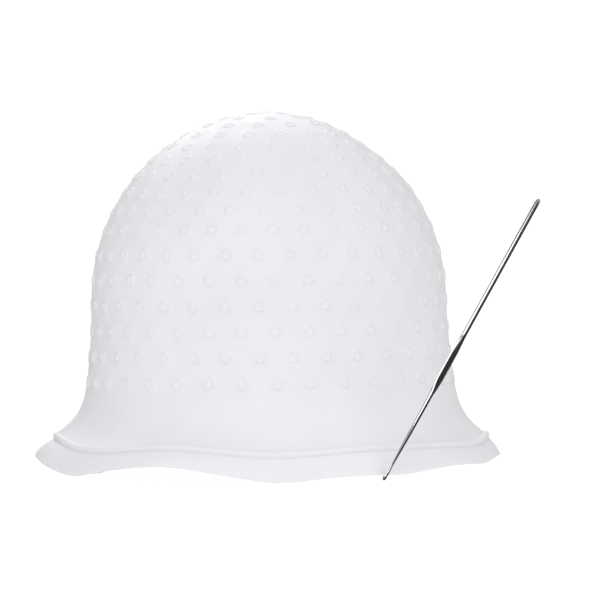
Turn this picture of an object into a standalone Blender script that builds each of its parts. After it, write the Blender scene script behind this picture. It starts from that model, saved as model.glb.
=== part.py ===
"""Highlighting cap and its pulling hook, at real size, in metres, +Z up.

The cap is one silicone moulding: a tall dome for the head, a skirt that flares out
over the neck and ears, a round bead, and a wavy hem below the bead. It stands on the
floor on three lobes of its hem. The hook is one length of steel wire, turned down to
a fine crochet point, with a flat pressed in it for the thumb.

Azimuths are in degrees about the cap's axis: 0 is the front (-Y), +90 is +X.
"""

import math

import bmesh
import bpy
from mathutils import Matrix, Vector

# Cap: the dome is a half ellipse, and the skirt hangs from its widest ring.
DOME_RADIUS = 0.0835
DOME_HEIGHT = 0.0880
DOME_BASE = 0.0825
WALL = 0.0012
SKIRT_SPREAD = 0.0064
SKIRT_POWER = 1.6
FLARE_SPREAD = 0.0104
FLARE_LENGTH = 0.0063
SKIRT_END_RADIUS = DOME_RADIUS + SKIRT_SPREAD + FLARE_SPREAD

# Bead: a half-round ridge where the skirt ends. It is higher over the ears.
BEAD_HEIGHT = 0.0166
BEAD_SIDE_RISE = 0.0040
BEAD_RADIUS = 0.0018

# Hem: the thin wavy strip below the bead.
HEM_RADIUS = 0.1075
HEM_HEIGHT = 0.0075
HEM_SIDE_RISE = 0.0035

# Each lobe pulls the hem down, and the bead a little with it:
# azimuth, half width (degrees), hem drop, bead drop (metres).
LOBES = (
    (2.5, 26.0, 0.0085, 0.0040),
    (36.0, 25.0, 0.0064, 0.0018),
    (69.0, 24.0, 0.0054, 0.0032),
    (105.0, 22.0, 0.0050, 0.0020),
    (144.0, 24.0, 0.0097, 0.0034),
    (180.0, 20.0, 0.0044, 0.0016),
    (236.0, 26.0, 0.0112, 0.0034),
    (270.0, 14.0, 0.0015, 0.0010),
    (303.0, 28.0, 0.0065, 0.0026),
)

# The hem's edge is rounded, and bulges out by this much.
EDGE_BULGE = 0.0004

# How finely the cap is divided. The skirt's steps crowd together towards the bead.
COLUMNS = 72
DOME_STEPS = 12
SKIRT_STEPS = 7
SKIRT_CROWDING = 1.7
BEAD_STEPS = 4
HEM_STEPS = 3

# Hook: distances along it are from its point.
HOOK_LENGTH = 0.150
HOOK_SECTIONS = (
    # distance, half width across the hook's throat, half thickness
    (0.0000, 0.00025, 0.00025),
    (0.0003, 0.00045, 0.00045),
    (0.0010, 0.00060, 0.00060),
    (0.0018, 0.00066, 0.00062),
    (0.0040, 0.00050, 0.00052),
    (0.0090, 0.00052, 0.00052),
    (0.0200, 0.00078, 0.00078),
    (0.0300, 0.00092, 0.00092),
    (0.0440, 0.00095, 0.00095),
    (0.0490, 0.00140, 0.00075),
    (0.0540, 0.00160, 0.00060),
    (0.0680, 0.00160, 0.00060),
    (0.0730, 0.00140, 0.00080),
    (0.0780, 0.00115, 0.00115),
    (HOOK_LENGTH - 0.0030, 0.00115, 0.00115),
    (HOOK_LENGTH - 0.0010, 0.00095, 0.00095),
    (HOOK_LENGTH - 0.0003, 0.00065, 0.00065),
    (HOOK_LENGTH, 0.00030, 0.00030),
)
HOOK_SIDES = 16

# The throat is a notch: (distance across from the hook's axis, distance along it).
# Its wall under the point is undercut, so the lip catches hair, and its floor slopes
# back out to the shank.
THROAT = (
    (0.00023, 0.0014),
    (0.00200, 0.0022),
    (0.00200, 0.0044),
    (0.00060, 0.0044),
)
THROAT_HALF_WIDTH = 0.002

# Edges that turn by more than this are shaded sharp.
SHARP_ANGLE = math.radians(50.0)

# Where the hook stands at rest, from the cap's axis at floor level.
HOOK_POINT = Vector((0.0518, -0.0953, 0.00015))
HOOK_RUN = Vector((0.0744, 0.0220, 0.1284))

# The cap's axis lies left of the origin, so that the origin is under the middle of
# the cap and hook together.
CAP_AXIS = Vector((-0.00934, 0.0, 0.0))


def clear_scene():
    for item in list(bpy.data.objects):
        bpy.data.objects.remove(item, do_unlink=True)


def material(name, colour, roughness, metallic):
    made = bpy.data.materials.new(name)
    made.use_nodes = True
    shader = made.node_tree.nodes["Principled BSDF"]
    shader.inputs["Base Color"].default_value = (*colour, 1.0)
    shader.inputs["Roughness"].default_value = roughness
    shader.inputs["Metallic"].default_value = metallic
    return made


def add_object(name, mesh, finish):
    made = bpy.data.objects.new(name, mesh)
    bpy.context.scene.collection.objects.link(made)
    made.data.materials.append(finish)
    return made


def finished_mesh(name, shape):
    """The bmesh as a smooth-shaded mesh whose faces point out."""
    bmesh.ops.recalc_face_normals(shape, faces=shape.faces)
    mesh = bpy.data.meshes.new(name)
    shape.to_mesh(mesh)
    shape.free()
    mesh.shade_smooth()
    mesh.set_sharp_from_angle(angle=SHARP_ANGLE)
    return mesh


def lobe_share(azimuth, centre, half_width):
    """1 at a lobe's centre, falling smoothly to 0 at its edges."""
    off = (azimuth - centre + 180.0) % 360.0 - 180.0
    if abs(off) >= half_width:
        return 0.0
    return math.cos(0.5 * math.pi * off / half_width) ** 2


def bead_height(azimuth):
    rise = BEAD_SIDE_RISE * math.sin(math.radians(azimuth)) ** 8
    drop = sum(bead * lobe_share(azimuth, centre, half) for centre, half, _, bead in LOBES)
    return BEAD_HEIGHT + rise - drop


def hem_height(azimuth):
    """The hem's lowest edge. Below zero it is pressed flat on the floor."""
    rise = HEM_SIDE_RISE * math.sin(math.radians(azimuth)) ** 2
    drop = sum(hem * lobe_share(azimuth, centre, half) for centre, half, hem, _ in LOBES)
    return HEM_HEIGHT + rise - drop


def dome_outline():
    """(radius, height) from just below the crown to the widest ring."""
    points = []
    for step in range(1, DOME_STEPS + 1):
        angle = 0.5 * math.pi * step / DOME_STEPS
        points.append((DOME_RADIUS * math.sin(angle), DOME_BASE + DOME_HEIGHT * math.cos(angle)))
    return points


def skirt_outline(azimuth):
    """(radius, height) from below the widest ring to the top of the bead."""
    end = bead_height(azimuth) + BEAD_RADIUS
    points = []
    for step in range(1, SKIRT_STEPS + 1):
        down = 1.0 - (1.0 - step / SKIRT_STEPS) ** SKIRT_CROWDING
        height = DOME_BASE + (end - DOME_BASE) * down
        spread = SKIRT_SPREAD * down**SKIRT_POWER
        flare = FLARE_SPREAD * math.exp((end - height) / FLARE_LENGTH)
        points.append((DOME_RADIUS + spread + flare, height))
    return points


def hem_outline(azimuth):
    """(radius, height) of the strip's outer face, from below the bead to its edge."""
    start = bead_height(azimuth) - BEAD_RADIUS
    end = hem_height(azimuth) + 0.5 * WALL
    points = []
    for step in range(HEM_STEPS + 1):
        share = step / HEM_STEPS
        radius = SKIRT_END_RADIUS + (HEM_RADIUS - SKIRT_END_RADIUS) * share
        points.append((radius, start + (end - start) * share))
    return points


def bead_outline(azimuth):
    """(radius, height) round the bead, between the skirt and the strip."""
    middle = bead_height(azimuth)
    points = []
    for step in range(1, BEAD_STEPS):
        angle = math.pi * (0.5 - step / BEAD_STEPS)
        radius = SKIRT_END_RADIUS + BEAD_RADIUS * math.cos(angle)
        points.append((radius, middle + BEAD_RADIUS * math.sin(angle)))
    return points


def inner_outline(outline):
    """The same line moved one wall thickness towards the inside."""
    points = []
    for index, (radius, height) in enumerate(outline):
        before = outline[max(index - 1, 0)]
        after = outline[min(index + 1, len(outline) - 1)]
        along = Vector((after[0] - before[0], after[1] - before[1])).normalized()
        points.append((radius + WALL * along.y, height - WALL * along.x))
    return points


def cap_outline(azimuth):
    """The whole section at one azimuth, down the outside and up the inside."""
    above = dome_outline() + skirt_outline(azimuth)
    strip = hem_outline(azimuth)
    inside = inner_outline(above + strip)
    edge = (HEM_RADIUS + EDGE_BULGE, hem_height(azimuth))
    section = above + bead_outline(azimuth) + strip + [edge] + list(reversed(inside))
    return [(radius, max(height, 0.0)) for radius, height in section]


def cap_mesh():
    """A ring of sections joined by faces, closed at the crown by two fans."""
    shape = bmesh.new()
    crown = shape.verts.new((0.0, 0.0, DOME_BASE + DOME_HEIGHT))
    under = shape.verts.new((0.0, 0.0, DOME_BASE + DOME_HEIGHT - WALL))
    columns = []
    for index in range(COLUMNS):
        azimuth = 360.0 * index / COLUMNS
        across = Vector((math.sin(math.radians(azimuth)), -math.cos(math.radians(azimuth))))
        column = []
        for radius, height in cap_outline(azimuth):
            column.append(shape.verts.new((radius * across.x, radius * across.y, height)))
        columns.append(column)
    for index in range(COLUMNS):
        here = columns[index]
        there = columns[(index + 1) % COLUMNS]
        shape.faces.new((crown, here[0], there[0]))
        shape.faces.new((under, there[-1], here[-1]))
        for row in range(len(here) - 1):
            shape.faces.new((here[row], here[row + 1], there[row + 1], there[row]))
    return finished_mesh("silicone_cap", shape)


def build_cap():
    silicone = material("silicone", (0.86, 0.86, 0.88), 0.45, 0.0)
    cap = add_object("silicone_cap", cap_mesh(), silicone)
    cap.location = CAP_AXIS
    return cap


def hook_mesh():
    """Rings of oval sections along +Z, from the point to the rounded far end."""
    shape = bmesh.new()
    rings = []
    for distance, half_width, half_thickness in HOOK_SECTIONS:
        ring = []
        for side in range(HOOK_SIDES):
            angle = 2.0 * math.pi * side / HOOK_SIDES
            place = (half_width * math.cos(angle), half_thickness * math.sin(angle), distance)
            ring.append(shape.verts.new(place))
        rings.append(ring)
    for lower, upper in zip(rings, rings[1:]):
        bmesh.ops.bridge_loops(shape, edges=loop_edges(shape, lower) + loop_edges(shape, upper))
    shape.faces.new(list(reversed(rings[0])))
    shape.faces.new(rings[-1])
    return finished_mesh("pulling_hook", shape)


def loop_edges(shape, ring):
    """The edges round one ring, made if they aren't there yet."""
    edges = []
    for index, vert in enumerate(ring):
        following = ring[(index + 1) % len(ring)]
        edges.append(shape.edges.get((vert, following)) or shape.edges.new((vert, following)))
    return edges


def throat_cutter(pose):
    """A wedge that cuts the throat out of the hook's +X side."""
    shape = bmesh.new()
    verts = [shape.verts.new((across, -THROAT_HALF_WIDTH, along)) for across, along in THROAT]
    face = shape.faces.new(verts)
    moved = bmesh.ops.extrude_face_region(shape, geom=[face])
    far_side = [item for item in moved["geom"] if isinstance(item, bmesh.types.BMVert)]
    bmesh.ops.translate(shape, verts=far_side, vec=(0.0, 2.0 * THROAT_HALF_WIDTH, 0.0))
    mesh = finished_mesh("throat_cutter", shape)
    cutter = bpy.data.objects.new("throat_cutter", mesh)
    bpy.context.scene.collection.objects.link(cutter)
    cutter.matrix_world = pose
    cutter.hide_render = True
    cutter.display_type = "WIRE"
    return cutter


def hook_pose():
    """The hook's own +Z runs up its length, and its +X, the throat's side, to the left."""
    along = HOOK_RUN.normalized()
    across = Vector((-HOOK_RUN.z, 0.0, HOOK_RUN.x)).normalized()
    through = along.cross(across)
    turn = Matrix((across, through, along)).transposed().to_4x4()
    return Matrix.Translation(CAP_AXIS + HOOK_POINT) @ turn


def build_hook():
    steel = material("steel", (0.62, 0.63, 0.65), 0.18, 1.0)
    pose = hook_pose()
    hook = add_object("pulling_hook", hook_mesh(), steel)
    hook.matrix_world = pose
    cut = hook.modifiers.new("throat", "BOOLEAN")
    cut.operation = "DIFFERENCE"
    cut.solver = "EXACT"
    cut.object = throat_cutter(pose)
    return hook


def main():
    clear_scene()
    build_cap()
    build_hook()


main()
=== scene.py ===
"""Looks of the highlighting cap and its pulling hook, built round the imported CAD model.

The cap is one watertight silicone skin: rows of ring bosses on the dome and wall, a
flared skirt, a round bead and a wavy hem. The hook is one bright steel wire with a
crochet point and a pressed thumb flat. Azimuths are in degrees about the cap's axis:
0 is the front (-Y), +90 is +X. Lengths are in metres.
"""
import math
import random

import bpy
import numpy as np
from mathutils import Matrix, Vector


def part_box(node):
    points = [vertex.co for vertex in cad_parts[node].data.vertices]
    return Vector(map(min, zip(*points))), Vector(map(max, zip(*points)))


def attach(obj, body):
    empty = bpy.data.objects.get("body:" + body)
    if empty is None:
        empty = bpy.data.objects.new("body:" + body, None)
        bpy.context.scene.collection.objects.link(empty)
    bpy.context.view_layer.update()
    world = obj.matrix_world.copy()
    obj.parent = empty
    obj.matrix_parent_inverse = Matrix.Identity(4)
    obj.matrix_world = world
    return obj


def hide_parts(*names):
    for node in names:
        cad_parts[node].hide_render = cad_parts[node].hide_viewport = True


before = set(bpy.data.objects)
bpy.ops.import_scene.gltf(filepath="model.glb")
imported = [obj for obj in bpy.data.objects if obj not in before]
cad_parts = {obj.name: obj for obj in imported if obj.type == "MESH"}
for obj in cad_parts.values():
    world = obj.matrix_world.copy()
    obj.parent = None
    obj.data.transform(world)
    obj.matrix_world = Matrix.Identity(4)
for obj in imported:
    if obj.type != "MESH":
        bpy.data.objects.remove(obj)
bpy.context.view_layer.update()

CAP_LOW, CAP_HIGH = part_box("silicone_cap")
CAP_AXIS = Vector(((CAP_LOW[0] + CAP_HIGH[0]) / 2, (CAP_LOW[1] + CAP_HIGH[1]) / 2, 0.0))
CAP_TOP = CAP_HIGH[2]

# Cap: a half-ellipse dome, then a wall that spreads and flares out to the bead.
DOME_RADIUS = 0.0832
DOME_HEIGHT = 0.0878
DOME_BASE = 0.0825
WALL = 0.0012
SPREAD = 0.0064
SPREAD_POWER = 1.6
FLARE = 0.0118
FLARE_LENGTH = 0.0080
FLARE_POWER = 1.20
DOME_SAMPLES = 240
WALL_SAMPLES = 400
NORMAL_STEP = 0.0004

# The soft dome sags a little over the right ear: azimuth, half width, heights, depth.
SAG_AZIMUTH = 78.0
SAG_HALF_WIDTH = 90.0
SAG_LOW = 0.135
SAG_HIGH = 0.182
SAG_DEPTH = 0.0036

# Bead: a round roll where the skirt ends. It is higher over the ears. Its section runs
# from one angle above the horizontal to another, and the skirt follows its rise and
# fall from a height of SKIRT_SHIFT_FROM down.
BEAD_HEIGHT = 0.0166
BEAD_RIGHT_RISE = 0.0021
BEAD_LEFT_RISE = 0.0050
BEAD_RISE_POWER = 8
BEAD_RADIUS = 0.0018
BEAD_RING_RADIUS = 0.1006
BEAD_FROM = 122.0
BEAD_TO = -48.0
BEAD_STEPS = 15
SKIRT_SHIFT_FROM = 0.050

# Hem: the thin strip below the bead. It droops towards its rounded edge.
HEM_RADIUS = 0.1076
HEM_HEIGHT = 0.0075
HEM_SIDE_RISE = 0.0035
HEM_LEFT_REACH = 0.0036
HEM_REACH_POWER = 6
HEM_DROOP = 0.35
HEM_LIP = 0.0015
HEM_STEPS = 9
LIP_STEPS = 6
LIP_ROUNDNESS = 0.9
LOBE_TUCK = 0.24

# Ripples of the hem's outline: waves round it, phase in radians, size in metres.
HEM_RIPPLES = (
    (5.0, 1.0, 0.00030),
    (11.0, 2.6, 0.00021),
)

# Each lobe pulls the hem down, and the bead a little with it. A negative drop lifts it:
# azimuth, half width (degrees), hem drop, bead drop (metres).
LOBES = (
    (2.5, 31.0, 0.0079, 0.0040),
    (36.0, 30.0, 0.0064, 0.0018),
    (69.0, 29.0, 0.0054, 0.0032),
    (105.0, 26.0, 0.0050, 0.0020),
    (144.0, 30.0, 0.0098, 0.0034),
    (180.0, 25.0, 0.0044, 0.0016),
    (236.0, 32.0, 0.0113, 0.0034),
    (270.0, 17.0, -0.0008, 0.0010),
    (300.0, 31.0, 0.0070, 0.0026),
)
LOBE_TIP = 3.5
LOBE_POWER = 1.6

# Bosses: staggered rows of small rings. Seven even rows go round the wall, and rows
# with fewer bosses go on over the dome to one boss at the crown.
WALL_ROWS = 7
WALL_ROW_LOW = 0.0456
WALL_ROW_HIGH = 0.1164
WALL_ROW_COUNT = 34
WALL_ROW_AZIMUTH = 2.1
CROWN_ROWS = 10
CROWN_ROW_TURN = 137.0
CROWN_SPACING = 0.0152
CROWN_WANDER = 0.0006
WANDER_SEED = 7
BOSS_HEIGHT = 0.0005
BOSS_CREST = 0.0021
BOSS_HALF_RIDGE = 0.0010
BOSS_FLOOR = 0.0001
BOSS_RINGS = (0.0007, 0.0011, 0.00145, 0.0018, 0.0021, 0.0024, 0.00275, 0.0031)
CELL_TOP_STEPS = 6
CELL_SIDE_STEPS = 4
CELL_CORNER_ANGLE = 36.0
SEAM_GAP = 0.0006

# The skirt, bead, hem and inner face share one set of columns. The skirt's rows crowd
# together towards the bead, and the inner face starts just below its pole.
COLUMNS = WALL_ROW_COUNT * CELL_TOP_STEPS
SKIRT_ROWS = 15
INNER_ROWS = 30
INNER_START = 0.02

# Hook: distances along it are from its point, and its throat opens towards +X.
HOOK_LENGTH = 0.150
HOOK_SECTIONS = (
    # distance, half width, half thickness, offset to the throat's side
    (0.0000, 0.00022, 0.00022, 0.00012),
    (0.0002, 0.00044, 0.00040, 0.00014),
    (0.0007, 0.00072, 0.00056, 0.00020),
    (0.0014, 0.00086, 0.00064, 0.00026),
    (0.0024, 0.00082, 0.00062, 0.00020),
    (0.0046, 0.00056, 0.00056, 0.00000),
    (0.0090, 0.00052, 0.00052, 0.00000),
    (0.0200, 0.00078, 0.00078, 0.00000),
    (0.0300, 0.00092, 0.00092, 0.00000),
    (0.0440, 0.00096, 0.00096, 0.00000),
    (0.0500, 0.00140, 0.00076, 0.00000),
    (0.0550, 0.00160, 0.00060, 0.00000),
    (0.0670, 0.00160, 0.00060, 0.00000),
    (0.0720, 0.00140, 0.00078, 0.00000),
    (0.0780, 0.00115, 0.00115, 0.00000),
    (0.1470, 0.00115, 0.00115, 0.00000),
    (0.1490, 0.00098, 0.00098, 0.00000),
    (0.1497, 0.00070, 0.00070, 0.00000),
    (HOOK_LENGTH, 0.00030, 0.00030, 0.00000),
)
HOOK_SIDES = 32
HOOK_FINE_LENGTH = 0.006
HOOK_FINE_STEP = 0.00006
HOOK_STEP = 0.00045
HOOK_END_LENGTH = 0.004
HOOK_END_STEPS = 24
FLAT_FROM = 0.047
FLAT_TO = 0.075
FLAT_BLEND = 0.006
FLAT_SQUARENESS = 2.2

# The throat: how far across the hook's own axis the steel reaches, at each distance.
THROAT = (
    (0.00150, 0.00200),
    (0.00156, 0.00018),
    (0.00230, -0.00002),
    (0.00300, 0.00004),
    (0.00520, 0.00060),
    (0.00530, 0.00200),
)

# The lip hangs over the throat: how strongly, at each distance.
LIP_OVERHANG = 0.55
LIP_PLACES = (0.0010, 0.0014, 0.0022, 0.0030)
LIP_SHARES = (0.0, 1.0, 1.0, 0.0)

# Where the hook stands at rest, from the cap's axis at floor level.
HOOK_POINT = Vector((0.0518, -0.0953, 0.00015))
HOOK_RUN = Vector((0.0744, 0.0220, 0.1284))

# Silicone: a boss ridge is painted a little darker than the skin, as painted shade on its flanks, and
# its thin floor lighter, partly the thin silicone's own tone and partly painted light.
# A noise is a scale and a detail, and a bump is a strength and a distance.
SILICONE_DARK = (0.700, 0.697, 0.727)
SILICONE_LIGHT = (0.836, 0.833, 0.860)
SILICONE_ROUGHNESS = (0.40, 0.54)
SKIN_TONE = 0.5
RIDGE_PAINTED_SHADE = 0.34
FLOOR_TONE_AND_PAINTED_LIGHT = 0.60
CLOUD_TONE = 0.08
CLOUD_NOISE = (26.0, 3.0)
GLOSS_NOISE = (140.0, 4.0)
GRAIN_NOISE = (900.0, 2.0)
GRAIN_BUMP = (0.12, 0.0002)
SCATTER_WEIGHT = 0.35
SCATTER_RADIUS = (1.0, 0.95, 0.95)
SCATTER_SCALE = 0.0030
SILICONE_IOR = 1.41

# Steel: bright plating over fine drawing lines along the wire.
STEEL_DARK = (0.30, 0.30, 0.31)
STEEL_LIGHT = (0.38, 0.38, 0.39)
STEEL_ROUGHNESS = (0.06, 0.13)
LINE_STRETCH = 0.02
LINE_NOISE = (6000.0, 2.0)
LINE_BUMP = (0.04, 0.00001)
STAIN_NOISE = (120.0, 3.0)

# Camera: far away and almost level, as for a catalogue picture.
CAMERA_DISTANCE = 6.0
CAMERA_ELEVATION = 1.2
CAMERA_ROLL = 1.0
CAMERA_REACH = 400.0
SENSOR = 36.0
FRAME_WIDTH = 0.2814
AIM_RIGHT = 0.0146
AIM_UP = 0.0821

# Floor: grey with a pale glow, and so wide that its edge lies at the horizon.
FLOOR_HALF = 150.0
FLOOR_DROP = 0.0003
FLOOR_COLOUR = (0.25, 0.25, 0.25, 1.0)
FLOOR_ROUGHNESS = 0.9
FLOOR_GLOW = 0.88

# Light: a pale sky over a dark ground, brightest in front, above and to the right. A
# white screen stands straight behind the cap, a dark gap lies to the right of the lens,
# and there are two softboxes. The steel sees the gap and the ground on one side, and
# the front softbox on the other.
SKY_LEVEL = 0.53
SKY_LEAN = (0.23, -0.44, 0.34)
GROUND_LEVEL = 0.08
GROUND_EDGE = (-0.10, -0.04)
SCREEN_LEVEL = 1.1
SCREEN_EDGE = (0.96, 0.985)
GAP_AT = Vector((0.32, -0.935, 0.15))
GAP_DEPTH = 1.0
GAP_EDGE = (0.940, 0.970)
LIGHT_DISTANCE = 1.3
LIGHTS = (
    # name, direction it comes from, side across the hook, side along it, power
    ("front_softbox", Vector((-0.358, -0.779, 0.513)), 1.30, 0.13, 3.00),
    ("back_softbox", Vector((-0.13, 0.74, 0.65)), 0.90, 0.90, 6.00),
)


# ---------------------------------------------------------------- the cap's shape

def turned_from(azimuth, centre):
    """Degrees from a centre, between -180 and 180."""
    return (azimuth - centre + 180.0) % 360.0 - 180.0


def swell(off, half_width):
    """1 in the middle, falling smoothly to 0 at the half width."""
    return np.where(np.abs(off) < half_width, np.cos(0.5 * np.pi * off / half_width) ** 2, 0.0)


def peak(off, half_width):
    """As swell, but drawn to a softly folded tip."""
    off = np.hypot(off, LOBE_TIP) - LOBE_TIP
    return np.clip(1.0 - off / half_width, 0.0, 1.0) ** LOBE_POWER


def hem_drop(azimuth):
    return sum(drop * peak(turned_from(azimuth, centre), half) for centre, half, drop, _ in LOBES)


def hem_height(azimuth):
    rise = HEM_SIDE_RISE * np.sin(np.radians(azimuth)) ** 2
    return HEM_HEIGHT + rise - hem_drop(azimuth)


def hem_radius(azimuth):
    turn = np.radians(azimuth)
    left = HEM_LEFT_REACH * np.clip(-np.sin(turn), 0.0, 1.0) ** HEM_REACH_POWER
    ripple = sum(size * np.sin(waves * turn + phase) for waves, phase, size in HEM_RIPPLES)
    return HEM_RADIUS + left + ripple - LOBE_TUCK * hem_drop(azimuth)


def bead_height(azimuth):
    side = np.sin(np.radians(azimuth))
    rise = np.where(side > 0.0, BEAD_RIGHT_RISE, BEAD_LEFT_RISE) * side**BEAD_RISE_POWER
    drop = sum(bead * swell(turned_from(azimuth, centre), half) for centre, half, _, bead in LOBES)
    return BEAD_HEIGHT + rise - drop


def make_meridian():
    """The plain outer section from the crown to the bead, as (length, radius, height)."""
    angle = np.linspace(0.0, 0.5 * np.pi, DOME_SAMPLES)
    dome_radius = DOME_RADIUS * np.sin(angle)
    dome_height = DOME_BASE + DOME_HEIGHT * np.cos(angle)
    end = BEAD_HEIGHT + BEAD_RADIUS * math.sin(math.radians(BEAD_FROM))
    height = np.linspace(DOME_BASE, end, WALL_SAMPLES)[1:]
    down = (DOME_BASE - height) / (DOME_BASE - height[-1])
    flare = FLARE * np.exp(-(((height - BEAD_HEIGHT) / FLARE_LENGTH) ** FLARE_POWER))
    radius = DOME_RADIUS + SPREAD * down**SPREAD_POWER + flare
    radius -= flare[0]
    radius = np.concatenate((dome_radius, radius))
    height = np.concatenate((dome_height, height))
    step = np.hypot(np.diff(radius), np.diff(height))
    return np.concatenate(([0.0], np.cumsum(step))), radius, height


LENGTH, RADIUS, HEIGHT = make_meridian()


def length_at(height):
    """How far along the meridian a height lies."""
    return float(np.interp(-height, -HEIGHT, LENGTH))


def radius_at(along):
    """The meridian's radius at one length along it."""
    return float(np.interp(along, LENGTH, RADIUS))


def meridian_normal(along):
    """Outward (radial, upward) parts of the meridian's normal."""
    ahead = np.minimum(along + NORMAL_STEP, LENGTH[-1])
    behind = np.maximum(along - NORMAL_STEP, 0.0)
    run = np.interp(ahead, LENGTH, RADIUS) - np.interp(behind, LENGTH, RADIUS)
    rise = np.interp(ahead, LENGTH, HEIGHT) - np.interp(behind, LENGTH, HEIGHT)
    size = np.hypot(run, rise)
    return -rise / size, run / size


def ring_points(azimuth, radius, height):
    turn = np.radians(azimuth)
    return np.stack((radius * np.sin(turn), -radius * np.cos(turn), height), axis=-1)


def skin_points(azimuth, along, lift):
    """Points on the outer skin, lifted along its normal, as an (n, 3) array."""
    azimuth = np.asarray(azimuth, dtype=float)
    along = np.asarray(along, dtype=float)
    outward, upward = meridian_normal(along)
    radius = np.interp(along, LENGTH, RADIUS)
    height = np.interp(along, LENGTH, HEIGHT)
    sag = swell(turned_from(azimuth, SAG_AZIMUTH), SAG_HALF_WIDTH)
    sag = sag * swell(height - 0.5 * (SAG_LOW + SAG_HIGH), 0.5 * (SAG_HIGH - SAG_LOW))
    radius = radius * (1.0 - SAG_DEPTH * sag / DOME_RADIUS) + lift * outward
    share = np.clip((SKIRT_SHIFT_FROM - height) / (SKIRT_SHIFT_FROM - HEIGHT[-1]), 0.0, 1.0)
    share = share * share * (3.0 - 2.0 * share)
    height = height + (bead_height(azimuth) - BEAD_HEIGHT) * share + lift * upward
    return ring_points(azimuth, radius, height)


# ---------------------------------------------------------------- the cap's mesh

class Skin:
    """Collects vertices, a tone for each (painted shade and painted light on the bosses), and faces.
    """

    def __init__(self):
        self.points = []
        self.tones_and_painted_shading = []
        self.faces = []

    def add(self, points, tone_and_painted_shading=SKIN_TONE):
        first = len(self.points)
        self.points.extend(points.tolist())
        self.tones_and_painted_shading.extend([tone_and_painted_shading] * len(points))
        return list(range(first, first + len(points)))

    def bridge(self, upper, lower):
        """Quads between two closed loops of equal count that turn the same way."""
        for i in range(len(upper)):
            j = (i + 1) % len(upper)
            self.faces.append((upper[i], lower[i], lower[j], upper[j]))

    def fan(self, middle, loop):
        """Triangles from one vertex to a closed loop."""
        for i in range(len(loop)):
            self.faces.append((middle, loop[i], loop[(i + 1) % len(loop)]))

    def stitch(self, upper, upper_turns, lower, lower_turns):
        """Triangles between two closed loops of any counts, matched by azimuth."""
        start = upper_turns[0]
        first = int(np.argmin(np.abs(turned_from(np.asarray(lower_turns), start))))
        above = [(turn - start) % 360.0 for turn in upper_turns] + [360.0]
        shifted = [lower_turns[(first + i) % len(lower)] - start for i in range(len(lower) + 1)]
        below = [turned_from(shifted[0], 0.0)]
        for before, after in zip(shifted, shifted[1:]):
            below.append(below[-1] + (after - before) % 360.0)
        i = 0
        j = 0
        while i < len(upper) or j < len(lower):
            top = upper[i % len(upper)]
            low = lower[(first + j) % len(lower)]
            take_top = j >= len(lower) or (i < len(upper) and above[i + 1] <= below[j + 1])
            if take_top:
                i += 1
                self.faces.append((top, low, upper[i % len(upper)]))
            else:
                j += 1
                self.faces.append((top, low, lower[(first + j) % len(lower)]))

    def mesh(self, name):
        made = bpy.data.meshes.new(name)
        made.from_pydata(self.points, [], self.faces)
        return made


def boss_lift(distance):
    """Height of a boss at a distance from its middle: a round ridge about a thin floor."""
    off = (distance - BOSS_CREST) / BOSS_HALF_RIDGE
    ridge = np.where(np.abs(off) < 1.0, 0.5 + 0.5 * np.cos(np.pi * off), 0.0)
    inside = np.where(distance < BOSS_CREST, BOSS_FLOOR, 0.0)
    return inside + (BOSS_HEIGHT - inside) * ridge


def boss_painted_shading(distance):
    """Painted light with the thin silicone's own tone on a boss's floor, painted shade on its ridge,
    plain at its foot.
    """
    places = (0.0, BOSS_CREST - BOSS_HALF_RIDGE, BOSS_CREST, BOSS_CREST + BOSS_HALF_RIDGE)
    return float(np.interp(distance, places, (FLOOR_TONE_AND_PAINTED_LIGHT, FLOOR_TONE_AND_PAINTED_LIGHT, RIDGE_PAINTED_SHADE, SKIN_TONE)))


def boss_rows():
    """(length along the meridian, count, azimuth of the first, wander) of each row."""
    low = length_at(WALL_ROW_LOW)
    high = length_at(WALL_ROW_HIGH)
    rows = []
    for row in range(1, CROWN_ROWS):
        along = high * row / CROWN_ROWS
        count = min(round(2.0 * math.pi * radius_at(along) / CROWN_SPACING), WALL_ROW_COUNT)
        rows.append((along, count, WALL_ROW_AZIMUTH + CROWN_ROW_TURN * row, CROWN_WANDER))
    for row in range(WALL_ROWS):
        along = high + (low - high) * row / (WALL_ROWS - 1)
        stagger = 0.5 * (row % 2) * 360.0 / WALL_ROW_COUNT
        rows.append((along, WALL_ROW_COUNT, WALL_ROW_AZIMUTH + stagger, 0.0))
    return rows


def row_edges(rows):
    """Lengths halfway between the rows, where one row's cells end and the next begin."""
    edges = [0.5 * rows[0][0]]
    edges += [0.5 * (upper[0] + lower[0]) for upper, lower in zip(rows, rows[1:])]
    edges.append(rows[-1][0] + 0.5 * (rows[-1][0] - rows[-2][0]))
    return edges


def add_boss(skin, count, place_ring):
    """Rings of points about a boss's middle. place_ring gives a ring's azimuths and lengths."""
    turns, lengths = place_ring(0.0)
    # Each ring's tone paints the boss: painted light on its floor, painted shade on its ridge.
    middle = skin.add(skin_points(turns[:1], lengths[:1], boss_lift(np.zeros(1))), FLOOR_TONE_AND_PAINTED_LIGHT)[0]
    loops = []
    for distance in BOSS_RINGS:
        turns, lengths = place_ring(distance)
        lift = boss_lift(np.full(count, distance))
        loops.append(skin.add(skin_points(turns, lengths, lift), boss_painted_shading(distance)))
    skin.fan(middle, loops[0])
    for inner, outer in zip(loops, loops[1:]):
        skin.bridge(inner, outer)
    return loops[-1]


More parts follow.
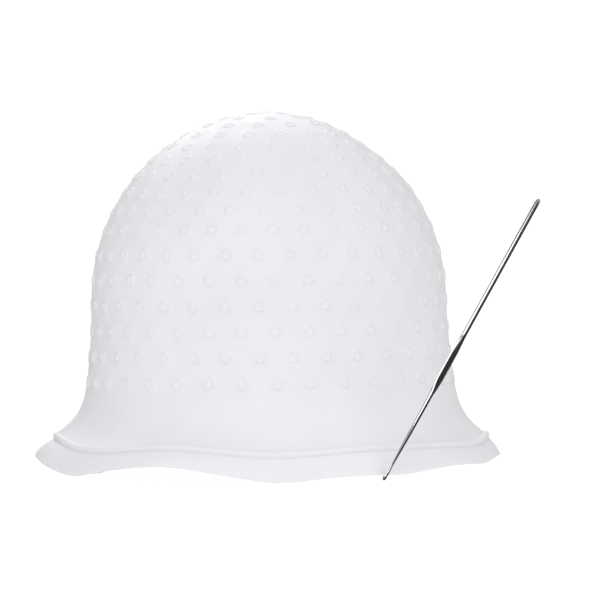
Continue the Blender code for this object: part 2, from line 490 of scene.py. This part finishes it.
def add_cell(skin, azimuth, along, edge, edge_turns, edge_lengths):
    """One boss, joined to its cell's edge loop."""
    count = len(edge)
    angles = np.radians(CELL_CORNER_ANGLE + 360.0 / count * np.arange(count))
    scale = along / radius_at(along)

    def place_ring(distance):
        across = distance * np.cos(angles) * scale
        radial = along - distance * np.sin(angles)
        return azimuth + np.degrees(np.arctan2(across, radial)), np.hypot(across, radial)

    foot = add_boss(skin, count, place_ring)
    turns, lengths = place_ring(BOSS_RINGS[-1])
    near = turned_from(edge_turns, azimuth) + azimuth
    halfway = skin.add(skin_points(0.5 * (turns + near), 0.5 * (lengths + edge_lengths), 0.0))
    skin.bridge(foot, halfway)
    skin.bridge(halfway, edge)


def cell_outline(left, right, top, bottom, side_lengths):
    """Azimuths and lengths of a cell's edge: back along the top, down the left side,
    along the bottom, and up the right side."""
    span = left + (right - left) / CELL_TOP_STEPS * np.arange(CELL_TOP_STEPS + 1)
    side = np.full(len(side_lengths), 1.0)
    turns = np.concatenate((span[::-1], left * side, span, right * side))
    level = np.full(len(span), 1.0)
    lengths = np.concatenate((top * level, side_lengths, bottom * level, side_lengths[::-1]))
    return turns, lengths


def add_row(skin, row, top, bottom, draw):
    """A band of bosses between two loops. Returns both loops with their azimuths."""
    along, count, azimuth, wander = row
    across = 360.0 / count
    total = count * CELL_TOP_STEPS
    tops = azimuth - 0.5 * across + across / CELL_TOP_STEPS * np.arange(total)
    upper = skin.add(skin_points(tops, np.full(total, top), 0.0))
    lower = skin.add(skin_points(tops, np.full(total, bottom), 0.0))
    side_lengths = top + (bottom - top) * np.arange(1, CELL_SIDE_STEPS) / CELL_SIDE_STEPS
    sides = []
    for cell in range(count):
        turn = azimuth + (cell - 0.5) * across
        sides.append(skin.add(skin_points(np.full(len(side_lengths), turn), side_lengths, 0.0)))
    for cell in range(count):
        first = cell * CELL_TOP_STEPS
        last = first + CELL_TOP_STEPS
        edge = [upper[k % total] for k in range(last, first - 1, -1)]
        edge += sides[cell]
        edge += [lower[k % total] for k in range(first, last + 1)]
        edge += reversed(sides[(cell + 1) % count])
        left = azimuth + (cell - 0.5) * across
        turns, lengths = cell_outline(left, left + across, top, bottom, side_lengths)
        shift = draw.uniform(-wander, wander) / radius_at(along)
        place = azimuth + cell * across + math.degrees(shift)
        add_cell(skin, place, along + draw.uniform(-wander, wander), edge, turns, lengths)
    return (upper, tops), (lower, tops)


def add_crown(skin, end):
    """The single boss at the very top, and the loop round it."""
    count = 2 * (CELL_TOP_STEPS + CELL_SIDE_STEPS)
    turns = 360.0 / count * np.arange(count)
    foot = add_boss(skin, count, lambda distance: (turns, np.full(count, distance)))
    loop = skin.add(skin_points(turns, np.full(count, end), 0.0))
    skin.bridge(foot, loop)
    return loop, turns


def add_bosses(skin):
    """The whole bossed surface. Returns its last loop, its azimuths and its length."""
    draw = random.Random(WANDER_SEED)
    rows = boss_rows()
    edges = row_edges(rows)
    loop, turns = add_crown(skin, edges[0] - SEAM_GAP)
    for row, top, bottom in zip(rows, edges, edges[1:]):
        upper, lower = add_row(skin, row, top + SEAM_GAP, bottom - SEAM_GAP, draw)
        skin.stitch(loop, turns, *upper)
        loop, turns = lower
    return loop, turns, edges[-1] + SEAM_GAP


def lower_section(azimuths):
    """Loops of (radius, height) arrays round the bead and down the hem to its edge."""
    outer = []
    bead = bead_height(azimuths)
    angles = np.radians(np.linspace(BEAD_FROM, BEAD_TO, BEAD_STEPS))
    for angle in angles[1:]:
        radius = BEAD_RING_RADIUS + BEAD_RADIUS * math.cos(angle)
        outer.append((np.full(len(azimuths), radius), bead + BEAD_RADIUS * math.sin(angle)))
    root_radius, root_height = outer[-1]
    reach = hem_radius(azimuths) - root_radius
    drop = root_height - np.maximum(hem_height(azimuths), 0.0) - 0.5 * HEM_LIP
    for step in range(1, HEM_STEPS + 1):
        share = step / HEM_STEPS
        quarter = 0.5 * math.pi * share
        out = share + (math.sin(quarter) - share) * HEM_DROOP
        down = share + (1.0 - math.cos(quarter) - share) * HEM_DROOP
        outer.append((root_radius + reach * out, root_height - drop * down))
    return outer


def inner_section(azimuths, outer):
    """Loops from the hem's edge up the inside to the crown. The bead stays solid: the
    inner face runs straight from the skirt to the hem."""
    plain = []
    for along in np.linspace(LENGTH[-1] * INNER_START, LENGTH[-1], INNER_ROWS):
        points = skin_points(azimuths, np.full(COLUMNS, along), 0.0)
        plain.append((np.hypot(points[:, 0], points[:, 1]), points[:, 2]))
    plain += outer[BEAD_STEPS - 1:]
    inner = []
    for index, (radius, height) in enumerate(plain):
        before = plain[max(index - 1, 0)]
        after = plain[min(index + 1, len(plain) - 1)]
        run = after[0] - before[0]
        rise = after[1] - before[1]
        size = np.hypot(run, rise)
        inner.append((radius + WALL * rise / size, height - WALL * run / size))
    return inner[::-1]


def lip_section(edge, inside):
    """Loops round the hem's edge, from its outer face to its inner one."""
    middle_radius = 0.5 * (edge[0] + inside[0])
    middle_height = 0.5 * (edge[1] + inside[1])
    arm_radius = edge[0] - middle_radius
    arm_height = edge[1] - middle_height
    loops = []
    for step in range(1, LIP_STEPS):
        angle = math.pi * step / LIP_STEPS
        bulge = LIP_ROUNDNESS * math.sin(angle)
        radius = middle_radius + arm_radius * math.cos(angle) + arm_height * bulge
        height = middle_height + arm_height * math.cos(angle) - arm_radius * bulge
        loops.append((radius, height))
    return loops


def build_cap_mesh():
    skin = Skin()
    previous, azimuths, start = add_bosses(skin)
    for left in np.linspace(1.0, 0.0, SKIRT_ROWS):
        along = np.full(COLUMNS, LENGTH[-1] - (LENGTH[-1] - start) * left**2)
        current = skin.add(skin_points(azimuths, along, 0.0))
        skin.bridge(previous, current)
        previous = current

    outer = lower_section(azimuths)
    inner = inner_section(azimuths, outer)
    for radius, height in outer + lip_section(outer[-1], inner[0]) + inner:
        current = skin.add(ring_points(azimuths, radius, np.maximum(height, 0.0)))
        skin.bridge(previous, current)
        previous = current
    pole = skin.add(np.array([[0.0, 0.0, CAP_TOP - WALL]]))[0]
    skin.fan(pole, previous[::-1])

    mesh = skin.mesh("cap_skin")
    # The tone attribute carries the bosses' painted shade and painted light, beside the plain skin
    # tone.
    mesh.attributes.new("tone_and_painted_shading", "FLOAT", "POINT").data.foreach_set("value", skin.tones_and_painted_shading)
    mesh.validate()
    return mesh


# ---------------------------------------------------------------- the hook's mesh

def smooth_track(places, values, wanted):
    """Values between the given ones, joined by smooth curves that never overshoot."""
    places = np.asarray(places)
    values = np.asarray(values)
    slopes = np.diff(values) / np.diff(places)
    before = slopes[:-1]
    after = slopes[1:]
    product = before * after
    total = np.where(product > 0.0, before + after, 1.0)
    middle = np.where(product > 0.0, 2.0 * product / total, 0.0)
    tangents = np.concatenate((slopes[:1], middle, slopes[-1:]))
    left = np.clip(np.searchsorted(places, wanted, side="right") - 1, 0, len(places) - 2)
    right = left + 1
    width = places[right] - places[left]
    t = (wanted - places[left]) / width
    start = (2.0 * t**3 - 3.0 * t**2 + 1.0) * values[left]
    start += (t**3 - 2.0 * t**2 + t) * width * tangents[left]
    end = (3.0 * t**2 - 2.0 * t**3) * values[right]
    end += (t**3 - t**2) * width * tangents[right]
    return start + end


def hook_places():
    """Distances of the hook's rings: fine at the point, and closing up at the far end."""
    fine = np.arange(0.0, HOOK_FINE_LENGTH, HOOK_FINE_STEP)
    plain = np.arange(HOOK_FINE_LENGTH, HOOK_LENGTH - HOOK_END_LENGTH, HOOK_STEP)
    closing = 0.5 + 0.5 * np.cos(np.linspace(0.0, np.pi, HOOK_END_STEPS))
    return np.concatenate((fine, plain, HOOK_LENGTH - HOOK_END_LENGTH * closing))


def build_hook_mesh():
    places = hook_places()
    stations, *tracks = zip(*HOOK_SECTIONS)
    half_width, half_thickness, offset = (smooth_track(stations, track, places) for track in tracks)
    reach = np.interp(places, [place for place, _ in THROAT], [across for _, across in THROAT])
    overhang = LIP_OVERHANG * np.interp(places, LIP_PLACES, LIP_SHARES)
    flat = np.clip(np.minimum(places - FLAT_FROM, FLAT_TO - places) / FLAT_BLEND, 0.0, 1.0)
    power = 2.0 / (2.0 + FLAT_SQUARENESS * flat)
    turns = 2.0 * np.pi * np.arange(HOOK_SIDES) / HOOK_SIDES
    cosine = np.cos(turns)
    sine = np.sin(turns)
    skin = Skin()
    tip = skin.add(np.array([[offset[0], 0.0, 0.0]]))[0]
    rings = []
    for index, place in enumerate(places):
        across = half_width[index] * np.sign(cosine) * np.abs(cosine) ** power[index]
        through = half_thickness[index] * np.sign(sine) * np.abs(sine) ** power[index]
        across = np.minimum(offset[index] + across, reach[index])
        along = place + overhang[index] * np.maximum(across, 0.0)
        rings.append(skin.add(np.stack((across, through, along), axis=-1)))
    end = skin.add(np.array([[0.0, 0.0, HOOK_LENGTH]]))[0]
    skin.fan(tip, rings[0][::-1])
    skin.fan(end, rings[-1])
    for lower, upper in zip(rings, rings[1:]):
        skin.bridge(upper, lower)
    mesh = skin.mesh("hook_skin")
    mesh.validate()
    return mesh


def hook_pose():
    """The hook's own +Z runs up its length, and its +X, the throat's side, to the left."""
    along = HOOK_RUN.normalized()
    across = Vector((-HOOK_RUN.z, 0.0, HOOK_RUN.x)).normalized()
    through = along.cross(across)
    turn = Matrix((across, through, along)).transposed().to_4x4()
    return Matrix.Translation(CAP_AXIS + HOOK_POINT) @ turn


# ---------------------------------------------------------------- materials

def new_material(name):
    made = bpy.data.materials.new(name)
    made.use_nodes = True
    tree = made.node_tree
    return made, tree, tree.nodes["Principled BSDF"]


def add_noise(tree, coordinates, scale, detail):
    noise = tree.nodes.new("ShaderNodeTexNoise")
    noise.inputs["Scale"].default_value = scale
    noise.inputs["Detail"].default_value = detail
    tree.links.new(coordinates, noise.inputs["Vector"])
    return noise.outputs["Fac"]


def add_range(tree, value, low, high, from_low=0.35, from_high=0.65):
    """A value spread between two levels. The default source range suits a noise."""
    scaled = tree.nodes.new("ShaderNodeMapRange")
    scaled.inputs["From Min"].default_value = from_low
    scaled.inputs["From Max"].default_value = from_high
    scaled.inputs["To Min"].default_value = low
    scaled.inputs["To Max"].default_value = high
    tree.links.new(value, scaled.inputs["Value"])
    return scaled.outputs["Result"]


def add_math(tree, operation, first, second):
    made = tree.nodes.new("ShaderNodeMath")
    made.operation = operation
    for socket, value in zip(made.inputs, (first, second)):
        if isinstance(value, float):
            socket.default_value = value
        else:
            tree.links.new(value, socket)
    return made.outputs["Value"]


def add_dot(tree, way, direction):
    dot = tree.nodes.new("ShaderNodeVectorMath")
    dot.operation = "DOT_PRODUCT"
    dot.inputs[1].default_value = direction
    tree.links.new(way, dot.inputs[0])
    return dot.outputs["Value"]


def add_mix(tree, factor, first, second):
    mix = tree.nodes.new("ShaderNodeMix")
    mix.data_type = "RGBA"
    mix.inputs["A"].default_value = (*first, 1.0)
    mix.inputs["B"].default_value = (*second, 1.0)
    tree.links.new(factor, mix.inputs["Factor"])
    return mix.outputs["Result"]


def add_bump(tree, shader, height, strength, distance):
    bump = tree.nodes.new("ShaderNodeBump")
    bump.inputs["Strength"].default_value = strength
    bump.inputs["Distance"].default_value = distance
    tree.links.new(height, bump.inputs["Height"])
    tree.links.new(bump.outputs["Normal"], shader.inputs["Normal"])


def silicone_material():
    """Milky satin silicone: faint clouds in it, and a very fine grain on it."""
    made, tree, shader = new_material("silicone_skin")
    place = tree.nodes.new("ShaderNodeTexCoord").outputs["Object"]
    cloud = add_range(tree, add_noise(tree, place, *CLOUD_NOISE), -CLOUD_TONE, CLOUD_TONE)
    # The tone attribute darkens boss ridges as painted shade and lightens their floors with painted
    # light; the clouds are the silicone's own uneven tone.
    tone_and_painted_shading = tree.nodes.new("ShaderNodeAttribute")
    tone_and_painted_shading.attribute_name = "tone_and_painted_shading"
    shade = add_math(tree, "ADD", tone_and_painted_shading.outputs["Fac"], cloud)
    tree.links.new(add_mix(tree, shade, SILICONE_DARK, SILICONE_LIGHT), shader.inputs["Base Color"])
    rough = add_range(tree, add_noise(tree, place, *GLOSS_NOISE), *SILICONE_ROUGHNESS)
    tree.links.new(rough, shader.inputs["Roughness"])
    add_bump(tree, shader, add_noise(tree, place, *GRAIN_NOISE), *GRAIN_BUMP)
    shader.inputs["Subsurface Weight"].default_value = SCATTER_WEIGHT
    shader.inputs["Subsurface Radius"].default_value = SCATTER_RADIUS
    shader.inputs["Subsurface Scale"].default_value = SCATTER_SCALE
    shader.inputs["IOR"].default_value = SILICONE_IOR
    return made


def steel_material():
    """Bright plated steel with fine lines along the wire and a faint uneven stain."""
    made, tree, shader = new_material("drawn_steel")
    place = tree.nodes.new("ShaderNodeTexCoord").outputs["Object"]
    stretch = tree.nodes.new("ShaderNodeMapping")
    stretch.inputs["Scale"].default_value = (1.0, 1.0, LINE_STRETCH)
    tree.links.new(place, stretch.inputs["Vector"])
    lines = add_noise(tree, stretch.outputs["Vector"], *LINE_NOISE)
    stain = add_range(tree, add_noise(tree, place, *STAIN_NOISE), 0.0, 1.0)
    tree.links.new(add_mix(tree, stain, STEEL_DARK, STEEL_LIGHT), shader.inputs["Base Color"])
    tree.links.new(add_range(tree, lines, *STEEL_ROUGHNESS), shader.inputs["Roughness"])
    add_bump(tree, shader, lines, *LINE_BUMP)
    shader.inputs["Metallic"].default_value = 1.0
    return made


def floor_material():
    made, _, shader = new_material("studio_floor")
    shader.inputs["Base Color"].default_value = FLOOR_COLOUR
    shader.inputs["Roughness"].default_value = FLOOR_ROUGHNESS
    shader.inputs["Specular IOR Level"].default_value = 0.0
    shader.inputs["Emission Color"].default_value = (1.0, 1.0, 1.0, 1.0)
    shader.inputs["Emission Strength"].default_value = FLOOR_GLOW
    return made


# ---------------------------------------------------------------- the scene

def add_object(name, data):
    made = bpy.data.objects.new(name, data)
    bpy.context.scene.collection.objects.link(made)
    return made


def build_cap():
    mesh = build_cap_mesh()
    mesh.materials.append(silicone_material())
    mesh.shade_smooth()
    cap = add_object("cap_skin", mesh)
    cap.location = CAP_AXIS
    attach(cap, "cap")
    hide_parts("silicone_cap")


def build_hook():
    mesh = build_hook_mesh()
    mesh.materials.append(steel_material())
    mesh.shade_smooth()
    hook = add_object("hook_skin", mesh)
    hook.matrix_world = hook_pose()
    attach(hook, "hook")
    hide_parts("pulling_hook")


def build_floor():
    """A pale floor. The steel and the silicone's gloss see the dark ground through it."""
    mesh = bpy.data.meshes.new("floor")
    corners = [(x * FLOOR_HALF, y * FLOOR_HALF, 0.0) for x, y in ((-1, -1), (1, -1), (1, 1), (-1, 1))]
    mesh.from_pydata(corners, [], [(0, 1, 2, 3)])
    mesh.materials.append(floor_material())
    floor = add_object("floor", mesh)
    floor.location.z = -FLOOR_DROP
    floor.visible_glossy = False


def build_world():
    world = bpy.data.worlds.new("studio")
    world.use_nodes = True
    bpy.context.scene.world = world
    tree = world.node_tree
    way = tree.nodes.new("ShaderNodeTexCoord").outputs["Generated"]
    split = tree.nodes.new("ShaderNodeSeparateXYZ")
    tree.links.new(way, split.inputs["Vector"])
    lean = add_dot(tree, way, SKY_LEAN)
    sky = add_range(tree, lean, SKY_LEVEL - 1.0, SKY_LEVEL + 1.0, -1.0, 1.0)
    screen = add_range(tree, split.outputs["Y"], 0.0, SCREEN_LEVEL, *SCREEN_EDGE)
    gap = add_range(tree, add_dot(tree, way, GAP_AT.normalized()), 0.0, GAP_DEPTH, *GAP_EDGE)
    level = add_math(tree, "SUBTRACT", add_math(tree, "MAXIMUM", sky, screen), gap)
    above = add_range(tree, split.outputs["Z"], 0.0, 1.0, *GROUND_EDGE)
    level = add_math(tree, "MULTIPLY", level, above)
    background = tree.nodes["Background"]
    background.inputs["Color"].default_value = (1.0, 1.0, 1.0, 1.0)
    tree.links.new(add_math(tree, "MAXIMUM", level, GROUND_LEVEL), background.inputs["Strength"])


def build_lights():
    """Each softbox faces the dome, with one side square across the hook's length."""
    aim = CAP_AXIS + Vector((0.0, 0.0, DOME_BASE))
    for name, direction, across, along, power in LIGHTS:
        light = bpy.data.lights.new(name, "AREA")
        light.shape = "RECTANGLE"
        light.size = across
        light.size_y = along
        light.energy = power
        outward = direction.normalized()
        side = HOOK_RUN.cross(outward).normalized()
        turn = Matrix((side, outward.cross(side), outward)).transposed().to_4x4()
        softbox = add_object(name, light)
        softbox.matrix_world = Matrix.Translation(aim + LIGHT_DISTANCE * outward) @ turn


def build_camera():
    lens = bpy.data.cameras.new("camera")
    lens.sensor_width = SENSOR
    lens.lens = SENSOR * CAMERA_DISTANCE / FRAME_WIDTH
    lens.clip_end = CAMERA_REACH
    tilt = math.radians(CAMERA_ELEVATION)
    aim = CAP_AXIS + Vector((AIM_RIGHT, 0.0, AIM_UP))
    back = Vector((0.0, -math.cos(tilt), math.sin(tilt)))
    turn = Matrix.Rotation(math.radians(90.0) - tilt, 4, "X")
    turn = turn @ Matrix.Rotation(-math.radians(CAMERA_ROLL), 4, "Z")
    camera = add_object("camera", lens)
    camera.matrix_world = Matrix.Translation(aim + CAMERA_DISTANCE * back) @ turn
    bpy.context.scene.camera = camera
    bpy.context.scene.view_settings.view_transform = "Standard"


build_cap()
build_hook()
build_floor()
build_world()
build_lights()
build_camera()
